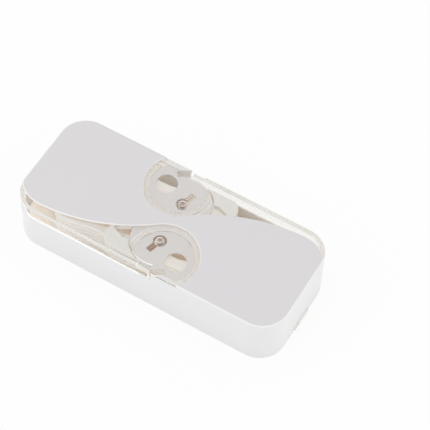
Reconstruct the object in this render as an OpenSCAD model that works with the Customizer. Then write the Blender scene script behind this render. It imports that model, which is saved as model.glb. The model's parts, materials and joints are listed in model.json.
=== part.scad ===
// Pocket dispenser for disposable floss picks.
// Two clear gates swing out at the long sides, and each one brings a pick with it.
// Millimetres, +Z up, origin at the middle of the base.
// X runs along the case, and the whole part looks the same after half a turn about Z.

/* [Case] */
// Length of the case
case_l = 92; // [88:0.5:110]
// Width of the case
case_w = 38; // [37:0.5:44]
// Height from the base to the rim of the case
rim_z = 18.4; // [18:0.1:24]
// Radius of the case's corners in plan
corner_r = 8.7; // [6:0.1:9]
// Thickness of the case's walls
wall = 1.5; // [1.2:0.05:1.8]
// Height of the wall left standing below a gate
gate_wall_h = 4.4; // [4.2:0.05:4.6]

/* [Cover plate] */
// Thickness of the opaque plate on top
cover_t = 0.6; // [0.4:0.05:1.2]
// Width of the strap between the round ends of the two clear windows
strap_w = 3.44; // [3:0.02:5]
// Place of the round end along the case, from the middle
bulb_x = 4.5; // [3:0.1:6]
// Place of the round end in from the case's side
bulb_in = 7.05; // [6.5:0.05:7.5]
// Radius of the long shoulder beside a window
shoulder_r = 58.5; // [50:0.5:70]
// Radius of the plate's rounded end beside a window
plate_end_r = 10.25; // [9.5:0.05:11]
// Place of the centre of that rounded end in from the case's end
plate_end_in = 8.4; // [8:0.1:9]
// Place of the centre of that rounded end across the case, from the middle
plate_end_y = 5.64; // [5.2:0.02:6]

/* [Top layers] */
// Thickness of the clear inner top
clear_t = 0.8; // [0.6:0.05:0.9]
// Thickness of the deck
deck_t = 0.8; // [0.6:0.05:0.9]
// Free height between the deck and the clear inner top
deck_gap = 0.4; // [0.3:0.05:0.6]
// Width of the groove round a bulb in the deck
groove_w = 1.6; // [1:0.1:2]
// Depth of the groove in the deck
groove_d = 0.3; // [0.2:0.05:0.4]
// Diameter of the round window in the deck
window_d = 6.8; // [4:0.1:7.4]
// Place of the window from the pivot, along the case
window_dx = 8; // [7:0.1:8.4]
// Place of the window from the pivot, across the case
window_dy = 4; // [3:0.1:5]
// Lip of the clear rim inside a bulb's edge
bulb_lip = 0.2; // [0.1:0.05:0.3]
// Diameter of the round part of the keyhole
keyhole_d = 4.2; // [4.1:0.05:4.6]
// Width of the keyhole's slot
key_slot_w = 2; // [1.4:0.1:2.4]
// Reach of the keyhole's slot from the pivot
key_slot_l = 4.8; // [4.2:0.1:5.2]
// Direction of the keyhole's slot, from the way across the case
key_slot_deg = 17; // [10:1:25]

/* [Gates] */
// Place of a pivot along the case, from the middle
pivot_x = 0.5; // [0.2:0.1:0.8]
// Place of a pivot in from the case's side
pivot_in = 11.6; // [11.4:0.05:11.8]
// Radius of the deck's edge about the pivot
deck_edge_r = 9.2; // [9:0.05:9.3]
// Wall thickness of a gate
gate_wall = 1.2; // [1:0.05:1.3]
// Thickness of a gate's top
gate_t = 0.8; // [0.6:0.05:0.85]
// Place of the split between gate and case, from the middle
split_x = 3.2; // [2.8:0.1:3.4]
// Length of the low tongue at the gate's end
tongue_l = 4; // [3.5:0.1:4.5]
// Height that the tongue stays below the clear top
tongue_drop = 0.15; // [0.1:0.05:0.3]
// Greatest swing of a gate
gate_swing = 22; // [10:1:22]
// Reach of a gate below the edge of the cover plate
tuck = 1; // [0.6:0.1:1.1]

/* [Levers] */
// Thickness of a lever's arm
lever_t = 0.6; // [0.5:0.05:0.65]
// Radius of the lever's hub
hub_r = 2.7; // [2.4:0.1:3]
// Radius of the lever's rounded end
lever_end_r = 3.9; // [3.4:0.1:4]
// Reach of a lever from the pivot to the centre of its rounded end
lever_l = 12; // [10:0.1:12.4]
// Distance of the lever's rounded end from the case's side
lever_in = 2.5; // [2.4:0.1:3]
// Half the width of a lever's arm at its middle
arm_half = 1; // [0.8:0.1:1.2]
// Diameter of the pusher below the lever
pusher_d = 1; // [0.8:0.05:1.1]
// Place of the pusher from the pivot, along the case
pusher_dx = 15; // [14:0.1:15.4]
// Place of the pusher from the pivot, across the case
pusher_dy = 1.9; // [1.6:0.05:2]
// Diameter of the guide post in the bow of the top pick
post_d = 2.8; // [2:0.1:2.8]
// Place of the guide post along the case, from the middle
post_x = 28; // [27.8:0.1:28.2]
// Place of the guide post across the case, from the middle
post_y = 9.5; // [9.4:0.1:9.6]

/* [Pivots] */
// Diameter of a pivot pin
pin_d = 1.4; // [1.2:0.05:1.5]
// Diameter of the pin's head
pin_head_d = 2.2; // [2:0.05:2.2]
// Thickness of the pin's head
pin_head_t = 0.3; // [0.2:0.05:0.35]
// Diameter of the clear boss round a pin
boss_d = 2.6; // [2.4:0.05:2.6]
// Diameter of the return spring's wire
return_wire = 0.3; // [0.25:0.01:0.32]
// Mean diameter of the return spring
return_d = 3.4; // [3.3:0.02:3.5]
// Height that the return spring climbs in a turn
return_pitch = 0.74; // [0.74:0.01:0.76]
// Turns of the return spring round its boss
return_turns = 0.75; // [0.25:0.25:0.75]

/* [Magazine] */
// Thickness of a pick
pick_t = 1.5; // [1.2:0.05:1.5]
// Height from one pick to the next
pick_pitch = 1.65; // [1.65:0.01:1.7]
// Place of a pick's tip along the case, from the middle
pick_tip_x = 37.6; // [36:0.1:38]
// Place of a pick's line at its tip, in from the case's side
pick_tip_in = 5.4; // [5.2:0.1:5.8]
// Tilt of a pick in the case
pick_tilt = 3.7; // [3:0.1:4]
// Diameter of the floss
floss_d = 0.5; // [0.3:0.05:0.6]
// Thickness of the lifting platform
platform_t = 1.2; // [1:0.05:1.4]
// Gap between the platform and the case
platform_gap = 0.6; // [0.4:0.1:1]
// Place of a platform spring, from the middle
spring_x = 22; // [16:0.5:30]
// Diameter of the platform spring's wire
spring_wire = 0.6; // [0.4:0.05:0.6]
// Diameter of the platform spring at the bottom
spring_bottom_d = 12; // [10:0.5:16]
// Diameter of the platform spring at the top
spring_top_d = 7; // [6:0.5:9]
// Turns of a platform spring
spring_turns = 3.5; // [2:0.5:3.5]

/* [Bottom cover] */
// Thickness of the bottom cover
lid_t = 1.2; // [1:0.05:1.4]
// Height of the bottom cover above the surface that the case stands on
lid_z = 0.3; // [0.2:0.05:0.5]
// Gap between the bottom cover and the case
lid_gap = 0.2; // [0.1:0.05:0.4]
// Width of the finger tab
tab_w = 8.4; // [6:0.1:12]
// Reach of the finger tab past the case
tab_out = 0.4; // [0.2:0.1:1]
// Height of the finger tab
tab_h = 1.6; // [1.2:0.1:2]
// Width of the lugs that hold the bottom cover
lug_l = 2; // [1.6:0.1:2.4]
// Width of the ring round a spring's seat
seat_ring_t = 0.7; // [0.5:0.1:1]
// Height of the ring round a spring's seat
seat_ring_h = 0.6; // [0.4:0.1:0.8]
// Height of the platform's spigot inside a spring
spigot_h = 0.8; // [0.5:0.1:1]
// Diameter of the hinge pins of the bottom cover
lid_pin_d = 1; // [0.8:0.05:1.2]
// Diameter of the hinge knuckles
knuckle_d = 2.4; // [2.2:0.1:2.6]
// Length of a hinge knuckle
knuckle_l = 4; // [3:0.1:5]
// Place of the hinge knuckles, from the middle
knuckle_y = 7; // [6:0.1:7.4]

/* [Screws] */
// Diameter of a deck screw's thread
screw_d = 1.2; // [1:0.05:1.4]
// Diameter of a deck screw's head
screw_head_d = 2.2; // [2:0.05:2.4]
// Height of a screw's head above its seat
screw_head_t = 0.7; // [0.5:0.05:0.8]
// Diameter of a screw boss
screw_boss_d = 2.8; // [2.6:0.05:3]
// Height of a screw boss
screw_boss_h = 2.2; // [1.6:0.05:2.3]
// Distance of the screws from the case's end
screw_in = 4.2; // [4:0.1:4.6]
// Distance of the near screw from the case's side
screw_near = 5; // [4.6:0.1:6]
// Distance of the far screw from the other side
screw_far = 16; // [15:0.1:17]

/* [Fits] */
// Running clearance of a pin in its bore, each side
run_fit = 0.05; // [0.02:0.01:0.08]
// Gap between a moving piece and a fixed one
move_gap = 0.3; // [0.2:0.05:0.35]
// Gap between pieces that lie on each other
lie_gap = 0.1; // [0.05:0.01:0.12]
// Gap between pieces that are set beside each other
seat_gap = 0.05; // [0.02:0.01:0.08]

/* [Hidden] */
$fn = 96;
// Picks above each other at each side, as many as their nodes
layers = 5;

white = [0.94, 0.94, 0.95];
warm_white = [0.88, 0.87, 0.87];
deck_grey = [0.85, 0.84, 0.83];
clear = [0.86, 0.84, 0.80, 0.45];
steel = [0.62, 0.61, 0.60];
pick_white = [0.93, 0.93, 0.93];
floss_white = [0.97, 0.97, 0.97];

// Cuts run this far past the face that they open
past = 1;
// A length longer than the whole part
far = case_l + case_w;

// Heights of the layers, from the top down
clear_z = rim_z - clear_t;
deck_z = clear_z - deck_gap - deck_t;
lever_z = deck_z - lie_gap - lever_t;
gate_top_z = rim_z - lie_gap;
gate_under_z = gate_top_z - gate_t;
sill_z = rim_z - gate_wall_h;
gate_foot_z = sill_z + lie_gap;
tongue_z = clear_z - tongue_drop;
pick_top_z = lever_z - lie_gap - seat_gap;
lid_top_z = lid_z + lid_t;
function pick_z(k) = pick_top_z - pick_t - (k - 1) * pick_pitch;
platform_top_z = pick_z(layers) - lie_gap;
platform_z = platform_top_z - platform_t;

// Places on the front half; the rear half is the same after half a turn
side_y = case_w / 2;
end_x = case_l / 2;
pivot = [pivot_x, -(side_y - pivot_in)];
bulb = [bulb_x, -(side_y - bulb_in)];
bulb_r = norm(bulb) - strap_w / 2;
plate_end = [-(end_x - plate_end_in), -plate_end_y];
window = pivot + [window_dx, -window_dy];
pusher = pivot + [-pusher_dx, -pusher_dy];

// The shoulder touches the bulb from outside and goes round the plate's rounded end
shoulder_to_end = shoulder_r - plate_end_r;
shoulder_to_bulb = shoulder_r + bulb_r;
end_to_bulb = norm(bulb - plate_end);
along = (pow(shoulder_to_end, 2) - pow(shoulder_to_bulb, 2) + pow(end_to_bulb, 2)) / (2 * end_to_bulb);
aside = sqrt(pow(shoulder_to_end, 2) - pow(along, 2));
end_way = (bulb - plate_end) / end_to_bulb;
shoulder = plate_end + along * end_way + aside * [-end_way[1], end_way[0]];
function way_deg(from, to) = atan2(to[1] - from[1], to[0] - from[0]);
end_turn_deg = way_deg(shoulder, plate_end);
bulb_turn_deg = way_deg(shoulder, bulb);
gate_end_y = -(plate_end_y + sqrt(pow(plate_end_r, 2) - pow(end_x + plate_end[0], 2)));

// The tongue's corners decide what must stay clear of its swing
tongue_x = split_x - tongue_l;
tongue_far_r = norm([split_x, -side_y] - pivot) + move_gap;
tongue_near_r = side_y - gate_wall + pivot[1] - move_gap;
split_deg = atan2(-side_y + gate_wall - pivot[1], split_x - pivot[0]);
step_deg = atan2(-side_y + gate_wall - pivot[1], tongue_x - pivot[0]);
swing_room_deg = 3;
plate_back_deg = 1.5;
step_corner = [tongue_x, -side_y] - pivot;
lap_x = pivot[0] + norm(step_corner) * cos(atan2(step_corner[1], step_corner[0]) + gate_swing) + move_gap;

// Shapes in plan
module rounded_plan(inset) {
    r = corner_r - inset;
    square([case_l - 2 * corner_r, case_w - 2 * inset], center = true);
    square([case_l - 2 * inset, case_w - 2 * corner_r], center = true);
    for (sx = [-1, 1], sy = [-1, 1])
        translate([sx * (end_x - corner_r), sy * (side_y - corner_r)]) circle(r = r);
}

module half_turn() {
    rotate([0, 0, 180]) children();
}

module both_ways() {
    children();
    half_turn() children();
}

// Points along an arc, up to but without its last point
function arc(c, r, from_deg, to_deg, n) = [for (i = [0 : n - 1]) let (a = from_deg + (to_deg - from_deg) * i / n)
    c + r * [cos(a), sin(a)]];

// The front window in plan, grown all round by g and open to the outside
module window_plan(g) {
    polygon(concat(
        arc(plate_end, plate_end_r - g, -180, end_turn_deg, 16),
        arc(shoulder, shoulder_r - g, end_turn_deg, bulb_turn_deg, 30),
        arc(bulb, bulb_r + g, bulb_turn_deg + 180, -90, 48),
        [[bulb[0], -far], [-far, -far], [-far, plate_end[1]]]));
}

// All that lies anticlockwise of a line from the pivot, as far as half a turn
module beyond_line(deg) {
    translate(pivot) rotate([0, 0, deg]) translate([-far, 0]) square([2 * far, far]);
}

// The space that a gate's top sweeps, with r as its inner radius
module gate_zone(g, r, deg) {
    difference() {
        window_plan(g);
        translate(pivot) circle(r = r);
        beyond_line(deg);
    }
}

module slab(z, t) {
    translate([0, 0, z]) linear_extrude(t) children();
}

// Fixed shells
module case_shell() {
    color(white) difference() {
        union() {
            slab(0, rim_z) difference() {
                rounded_plan(0);
                rounded_plan(wall);
            }
            screw_posts();
            hinge_lugs();
        }
        both_ways() gate_cut();
        both_ways() slab(clear_z, rim_z) bulb_lap(seat_gap, past);
        screw_holes(deck_z - screw_boss_h - past, screw_boss_h + past, screw_d);
        tab_cut();
        hinge_bore(lid_pin_d + 2 * seat_gap / 5);
    }
}

// The wall is cut down to the sill below a gate, and clears the tongue's swing
module gate_cut() {
    slab(sill_z, rim_z) {
        translate([-far, -side_y - past])
            square([far + split_x + lie_gap, corner_r + past - wall]);
        translate([-far, -far])
            square([far - end_x + corner_r, far + gate_end_y + lie_gap]);
        intersection() {
            translate(pivot) circle(r = tongue_far_r);
            translate([0, -side_y - past]) square([far, corner_r]);
        }
    }
}

// The clear inner top laps over the wall inside a bulb, as near to the split as the gate's swing lets it
module bulb_lap(grow, out) {
    intersection() {
        rounded_plan(-out);
        translate(bulb) circle(r = bulb_r - seat_gap + grow);
        translate([lap_x - grow, -far]) square([far, far - side_y + 2 * wall]);
    }
}

screw_places = [[end_x - screw_in, -(side_y - screw_near)], [end_x - screw_in, side_y - screw_far]];

module screw_posts() {
    both_ways() for (p = screw_places) slab(deck_z - screw_boss_h, screw_boss_h) {
        translate(p) circle(d = screw_boss_d);
        intersection() {
            translate(p - [0, screw_boss_d / 2]) square([screw_in, screw_boss_d]);
            rounded_plan(wall / 2);
        }
    }
}

module screw_holes(z, t, d) {
    both_ways() for (p = screw_places) slab(z, t) translate(p) circle(d = d);
}

// Opening in the end wall for the finger tab of the bottom cover
module tab_cut() {
    translate([end_x - wall - past, -tab_w / 2 - lid_gap, -past])
        cube([wall + 2 * past, tab_w + 2 * lid_gap, past + lid_z + tab_h + lid_gap]);
}

hinge_x = -(end_x - wall - move_gap - knuckle_d / 2);
hinge_z = lid_z + knuckle_d / 2;
lug_y = knuckle_y + knuckle_l / 2 + move_gap;

// The lugs are round about the hinge's axis, so that the cover's edge swings past them
module hinge_lugs() {
    for (sy = [-1, 1]) translate([0, sy * (lug_y + lug_l / 2), 0]) {
        translate([-end_x + wall / 2, -lug_l / 2, lid_z])
            cube([hinge_x + end_x - wall / 2, lug_l, knuckle_d]);
        translate([hinge_x, 0, hinge_z]) rotate([90, 0, 0])
            cylinder(d = knuckle_d, h = lug_l, center = true);
    }
}

module hinge_bore(d) {
    for (sy = [-1, 1]) translate([hinge_x, sy * (lug_y - past), hinge_z])
        rotate([-90 * sy, 0, 0]) cylinder(d = d, h = lug_l + past + wall);
}

module s_cover_plate() {
    color(warm_white) slab(rim_z, cover_t) difference() {
        rounded_plan(0);
        both_ways() window_plan(0);
    }
}

module clear_top() {
    color(clear) difference() {
        union() {
            slab(clear_z, clear_t) difference() {
                rounded_plan(wall + seat_gap);
                both_ways() gate_zone(tuck + move_gap, deck_edge_r - lie_gap,
                    step_deg + gate_swing + swing_room_deg);
            }
            both_ways() slab(clear_z, clear_t) bulb_lap(0, 0);
            both_ways() slab(deck_z + deck_t - groove_d, groove_d + deck_gap)
                bulb_rim(bulb_r - bulb_lip - seat_gap, groove_w - 2 * seat_gap);
            both_ways() slab(lever_z + lever_t + lie_gap, clear_z - deck_z) translate(pivot)
                circle(d = boss_d);
        }
        both_ways() slab(lever_z, clear_z - lever_z + clear_t / 2) translate(pivot)
            circle(d = pin_d + 2 * seat_gap / 5);
        screw_holes(deck_z, clear_z - deck_z + past + clear_t, screw_head_d + 2 * lie_gap);
    }
}

// A rim that follows a bulb's arc from its outside at r, w wide, clear of the gate and its tongue
module bulb_rim(r, w) {
    difference() {
        intersection() {
            translate(bulb) circle(r = r);
            rounded_plan(wall + groove_w);
        }
        translate(bulb) circle(r = r - w);
        gate_zone(tuck + move_gap, deck_edge_r - lie_gap, step_deg + gate_swing + swing_room_deg);
        tongue_room();
    }
}

module keyhole(grow) {
    translate(pivot) circle(d = keyhole_d + 2 * grow);
    translate(pivot) rotate([0, 0, -90 - key_slot_deg]) translate([0, -key_slot_w / 2 - grow])
        square([key_slot_l + grow, key_slot_w + 2 * grow]);
}

// The deck carries a guide post for each row, round which the bow of its top pick turns
module deck_plate() {
    color(deck_grey) difference() {
        union() {
            slab(deck_z, deck_t) difference() {
                rounded_plan(wall + seat_gap);
                both_ways() {
                    gate_zone(tuck + move_gap, deck_edge_r, step_deg + gate_swing + swing_room_deg);
                    tongue_room();
                    keyhole(0);
                    translate(window) circle(d = window_d);
                }
            }
            both_ways() slab(pick_z(1) + lie_gap, deck_z - pick_z(1)) translate([post_x, -post_y])
                circle(d = post_d);
        }
        both_ways() slab(deck_z + deck_t - groove_d, deck_t) bulb_rim(bulb_r - bulb_lip, groove_w);
        screw_holes(deck_z - past, deck_t + 2 * past, screw_d + 2 * lie_gap);
    }
}

// The deck leaves room for the tongue where it swings in behind the case's wall
module tongue_room() {
    difference() {
        translate(pivot) circle(r = tongue_far_r);
        translate(pivot) circle(r = tongue_near_r);
        beyond_line(split_deg + gate_swing + swing_room_deg);
        translate([-far, pivot[1] - deck_edge_r / 2]) square([2 * far, 2 * far]);
    }
}

module deck_screws() {
    color(steel) {
        screw_holes(deck_z + deck_t, screw_head_t, screw_head_d);
        screw_holes(deck_z - screw_boss_h + lie_gap, screw_boss_h + deck_t, screw_d - 2 * seat_gap / 5);
    }
}

// Gates: a clear top and side wall in one piece
module gate_side_plan(inset) {
    difference() {
        rounded_plan(inset);
        rounded_plan(gate_wall);
        translate([-far, gate_end_y - lie_gap]) square([2 * far, far]);
        translate([split_x, -far]) square([far, 2 * far]);
        translate([0, -side_y + corner_r]) square([far, far]);
    }
}

// A gate's top reaches the outside of the case only where the wall is cut down
module gate_top_plan() {
    rounded_plan(wall + move_gap);
    difference() {
        rounded_plan(0);
        translate([-far, gate_end_y - lie_gap]) square([2 * far, 2 * far]);
    }
}

module gate() {
    color(clear) {
        slab(gate_under_z, gate_t) intersection() {
            gate_top_plan();
            gate_zone(tuck, deck_edge_r + move_gap - lie_gap, step_deg - plate_back_deg);
        }
        slab(gate_foot_z, gate_top_z - gate_foot_z) difference() {
            gate_side_plan(0);
            translate([tongue_x, -far]) square([far, far]);
        }
        slab(gate_foot_z, tongue_z - gate_foot_z) gate_side_plan(0);
    }
}

module front_gate() { gate(); }
module rear_gate() { half_turn() gate(); }

// Levers: a hub, an arm below the deck and a head below the gate's top
lever_end = [pivot[0] - lever_l, -(side_y - lever_end_r - lever_in)];
// Corners of the head's opening, from the centre of the rounded end
lever_opening = [[-2.4, 2.1], [1.7, 0.4], [5.1, 0.9], [3.5, 6.6], [-1.5, 4.6]];

module lever_head_plan() {
    difference() {
        intersection() {
            union() {
                translate(lever_end) circle(r = lever_end_r);
                translate([lever_end[0], lever_end[1] - lever_end_r])
                    square([-lever_end[0], 2 * lever_end_r + hub_r]);
            }
            gate_zone(tuck, deck_edge_r + move_gap, step_deg - plate_back_deg);
            rounded_plan(wall + gate_wall);
        }
        translate(lever_end) polygon(lever_opening);
    }
}

// The arm narrows from the hub to its middle, and widens again over the pusher
module lever_arm_plan() {
    middle = pivot - [lever_l * 0.8, -arm_half * 0.8];
    polygon([pivot + [0, hub_r], middle + [0, arm_half], pusher + [-pusher_d, pusher_d],
        pusher + [-pusher_d, -2 * pusher_d - lie_gap], pusher + [pusher_d, -2 * pusher_d],
        pusher + [pusher_d, -pusher_d], middle - [0, arm_half], pivot - [0, hub_r]]);
}

module lever() {
    color(white) difference() {
        union() {
            slab(lever_z, gate_under_z - lever_z) lever_head_plan();
            slab(lever_z, lever_t) {
                translate(pivot) circle(r = hub_r);
                lever_arm_plan();
            }
            slab(pick_z(1) + lie_gap, lever_z - pick_z(1)) translate(pusher) circle(d = pusher_d);
        }
        slab(lever_z - past, lever_t + 2 * past) translate(pivot) circle(d = pin_d + 2 * run_fit);
        leg_slot();
    }
}

// Slot in the hub for the lower leg of the return spring, with room for the swing
leg_deg = -90 - key_slot_deg + return_turns * 360;

module leg_slot() {
    slot_w = return_wire + 2 * lie_gap;
    slab(lever_z + lever_t / 3, lever_t) for (k = [0 : 4]) translate(pivot)
        rotate([0, 0, leg_deg - k * gate_swing / 4]) translate([return_d / 2, 0]) circle(d = slot_w);
}

module front_lever() { lever(); }
module rear_lever() { half_turn() lever(); }

module pivot_pin() {
    color(steel) {
        slab(lever_z - pin_head_t - lie_gap / 2, pin_head_t) translate(pivot) circle(d = pin_head_d);
        slab(lever_z - lie_gap / 2, clear_z - lever_z + clear_t / 2) translate(pivot) circle(d = pin_d);
    }
}

module front_pivot_pin() { pivot_pin(); }
module rear_pivot_pin() { half_turn() pivot_pin(); }

// Wire along a list of points, with n sides; rings stand square to the way
function unit(v) = v / norm(v);
function way_at(p, i) = unit(p[min(i + 1, len(p) - 1)] - p[max(i - 1, 0)]);
function side_at(p, i) = let (w = way_at(p, i), a = abs(w[2]) < 0.9 ? [0, 0, 1] : [1, 0, 0]) unit(cross(a, w));
function ring_at(p, i, r, n) = let (w = way_at(p, i), s = side_at(p, i), u = cross(w, s))
    [for (k = [0 : n - 1]) p[i] + r * (cos(360 * k / n) * s + sin(360 * k / n) * u)];

module wire(p, d, n) {
    m = len(p);
    points = [for (i = [0 : m - 1]) each ring_at(p, i, d / 2, n)];
    sides = [for (i = [0 : m - 2], k = [0 : n - 1]) let (a = i * n + k, b = i * n + (k + 1) % n)
        each [[a, a + n, b + n], [a, b + n, b]]];
    first_end = [for (k = [1 : n - 2]) [0, k, k + 1]];
    last_end = [for (k = [1 : n - 2]) [(m - 1) * n, (m - 1) * n + k + 1, (m - 1) * n + k]];
    polyhedron(points = points, faces = concat(sides, first_end, last_end), convexity = 8);
}

rings = 8;
wire_sides = 6;

// Return spring: a leg in the keyhole's slot, the turn round the boss, a leg down into the hub
return_top_z = deck_z + deck_t - return_wire / 2;
function return_point(t) = let (a = -90 - key_slot_deg + 360 * t, r = return_d / 2)
    [pivot[0] + r * cos(a), pivot[1] + r * sin(a), return_top_z - return_pitch * t];
return_leg_way = [cos(-90 - key_slot_deg), sin(-90 - key_slot_deg), 0];
return_path = concat(
    [for (s = [key_slot_l - 0.5, return_d / 2 + return_wire])
        [pivot[0], pivot[1], return_top_z] + s * return_leg_way],
    [for (i = [1 : rings * return_turns]) return_point(i / rings)],
    [return_point(return_turns) - [0, 0, 0.4]]);

module return_spring() {
    color(steel) wire(return_path, return_wire, wire_sides);
}

module front_return_spring() { return_spring(); }
module rear_return_spring() { half_turn() return_spring(); }

// Bottom cover with its finger tab, hinge knuckles and spring seats
module bottom_cover() {
    color(clear) difference() {
        union() {
            slab(lid_z, lid_t) intersection() {
                rounded_plan(wall + lid_gap);
                translate([4 * lid_gap, 0]) rounded_plan(wall + lid_gap);
                translate([hinge_x + hinge_z + lie_gap, -far]) square([far + case_l, 2 * far]);
            }
            translate([end_x - 2 * wall, -tab_w / 2, lid_z])
                cube([2 * wall + tab_out, tab_w, lid_t]);
            translate([end_x - wall / 2, -tab_w / 2, lid_z])
                cube([wall / 2 + tab_out, tab_w, tab_h]);
            for (sy = [-1, 1]) translate([hinge_x, sy * knuckle_y, hinge_z]) {
                rotate([90, 0, 0]) cylinder(d = knuckle_d, h = knuckle_l, center = true);
                translate([0, -knuckle_l / 2, lid_z - hinge_z]) cube([knuckle_d, knuckle_l, lid_t]);
            }
            for (sx = [-1, 1]) slab(lid_top_z, seat_ring_h) translate([sx * spring_x, 0]) difference() {
                circle(d = spring_bottom_d + spring_wire + 2 * lie_gap + 2 * seat_ring_t);
                circle(d = spring_bottom_d + spring_wire + 2 * lie_gap);
            }
        }
        for (sy = [-1, 1]) translate([hinge_x, sy * knuckle_y, hinge_z])
            rotate([90, 0, 0]) cylinder(d = lid_pin_d + 2 * run_fit, h = 2 * knuckle_l, center = true);
    }
}

module cover_hinge_pins() {
    color(steel) for (sy = [-1, 1])
        translate([hinge_x, sy * (knuckle_y - knuckle_l / 2), hinge_z]) rotate([-90 * sy, 0, 0])
            cylinder(d = lid_pin_d, h = knuckle_l + move_gap + lug_l);
}

// Lifting platform and its two conical springs
module platform() {
    color(white) {
        slab(platform_z, platform_t) rounded_plan(wall + platform_gap);
        for (sx = [-1, 1]) slab(platform_z - spigot_h, spigot_h) translate([sx * spring_x, 0])
            circle(d = spring_top_d - spring_wire - 4 * lie_gap);
    }
}

spring_low_z = lid_top_z + spring_wire / 2 + seat_gap;
spring_high_z = platform_z - spring_wire / 2 - seat_gap;
function spring_point(t) = let (s = t / spring_turns, a = 360 * t,
    r = (spring_bottom_d + (spring_top_d - spring_bottom_d) * s) / 2)
    [r * cos(a), r * sin(a), spring_low_z + (spring_high_z - spring_low_z) * s];
spring_path = [for (i = [0 : rings * spring_turns]) spring_point(i / rings)];

// Least distance between points of a wire that are half a turn or more apart, less the wire
function least_gap(p, d, skip) = min([for (i = [0 : len(p) - 1 - skip], j = [i + skip : len(p) - 1])
    norm(p[i] - p[j])]) - d;
echo(platform_spring_gap = least_gap(spring_path, spring_wire, rings / 2));
echo(return_spring_gap = least_gap(return_path, return_wire, rings / 2));

module platform_spring() {
    color(steel) wire(spring_path, spring_wire, wire_sides);
}

module platform_spring_left() { translate([-spring_x, 0, 0]) platform_spring(); }
module platform_spring_right() { translate([spring_x, 0, 0]) rotate([0, 0, 180]) platform_spring(); }

// Picks: points along the outline, from the tip round the back of the bow to the arms
pick_back = [[0, 5.2], [2.6, 2.4], [5.5, -1], [8.9, -1.9], [12.3, -1.9], [16.8, -1.1], [21.4, -1.2],
    [26.4, -2.2], [33.5, -2.5], [40.5, -2.3], [46.4, -1.8], [53.7, -2.5], [57.8, -3.6], [61.2, -4.5],
    [64.6, -5], [68, -4.8], [72.5, -3.4], [76.4, 0], [77.9, 5.2]];
pick_bow = [[75.3, 6], [74.1, 2.7], [70.3, -1.1], [66.9, -2], [63.4, -2], [60.7, -1.4], [58.2, 0.2],
    [57, 2.6], [57.2, 5.5], [59.6, 12.3]];
pick_front = [[57.1, 13.3], [55.5, 9.6], [53.2, 5], [46.4, 1.8], [40.5, 2.3], [33.5, 2.5], [26.4, 2.3],
    [21.4, 1.9], [16.8, 1.25], [12.3, 0.1], [8.9, -0.1], [5.5, 1.1], [3.2, 3.2]];
floss_upper = [74.9, 5.1];
floss_lower_end = [59.24, 11.17];

// A smooth curve through the points, with the first and last as corners
curve_steps = 3;
function curve_point(a, b, c, d, t) = 0.5 * (2 * b + (c - a) * t + (2 * a - 5 * b + 4 * c - d) * t * t
    + (3 * b - a - 3 * c + d) * t * t * t);
function smooth(p) = [for (i = [0 : len(p) - 2], k = [0 : curve_steps - 1])
    curve_point(p[max(i - 1, 0)], p[i], p[i + 1], p[min(i + 2, len(p) - 1)], k / curve_steps),
    p[len(p) - 1]];

// Puts a shape of the pick's own plan in its place on the front side
module in_front_row() {
    translate([-pick_tip_x, -(side_y - pick_tip_in)]) rotate([0, 0, pick_tilt]) children();
}

module pick(k) {
    color(pick_white) slab(pick_z(k), pick_t) in_front_row()
        polygon(concat(smooth(pick_back), smooth(pick_bow), smooth(pick_front)));
}

module floss(k) {
    run = floss_lower_end - floss_upper;
    color(floss_white) translate([0, 0, pick_z(k) + pick_t / 2]) in_front_row() translate(floss_upper)
        rotate([0, 0, atan2(run[1], run[0])]) rotate([0, 90, 0]) cylinder(d = floss_d, h = norm(run), $fn = 16);
}

module floss_front_top() { floss(1); }
module floss_rear_top() { half_turn() floss(1); }
module floss_lower() { both_ways() for (k = [2 : layers]) floss(k); }

case_shell();
s_cover_plate();
clear_top();
deck_plate();
deck_screws();
front_gate();
rear_gate();
front_lever();
rear_lever();
front_pivot_pin();
rear_pivot_pin();
front_return_spring();
rear_return_spring();
bottom_cover();
cover_hinge_pins();
platform();
platform_spring_left();
platform_spring_right();
for (k = [1 : layers]) {
    pick(k);
    half_turn() pick(k);
}
floss_front_top();
floss_rear_top();
floss_lower();
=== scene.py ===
# %% [markdown]
# # A pocket dispenser for floss picks
#
# The construction is already made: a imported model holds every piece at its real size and
# place. This file dresses that model. It gives each moulded shell the small radii that a
# mould leaves, models the picks, the floss and the wire springs in full, and makes the
# finish of each plastic and metal. Nothing is moved: each piece stays where the frame has it.

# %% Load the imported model
import json
import math

import bmesh
import bpy
import numpy as np
from mathutils import Matrix, Vector

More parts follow.
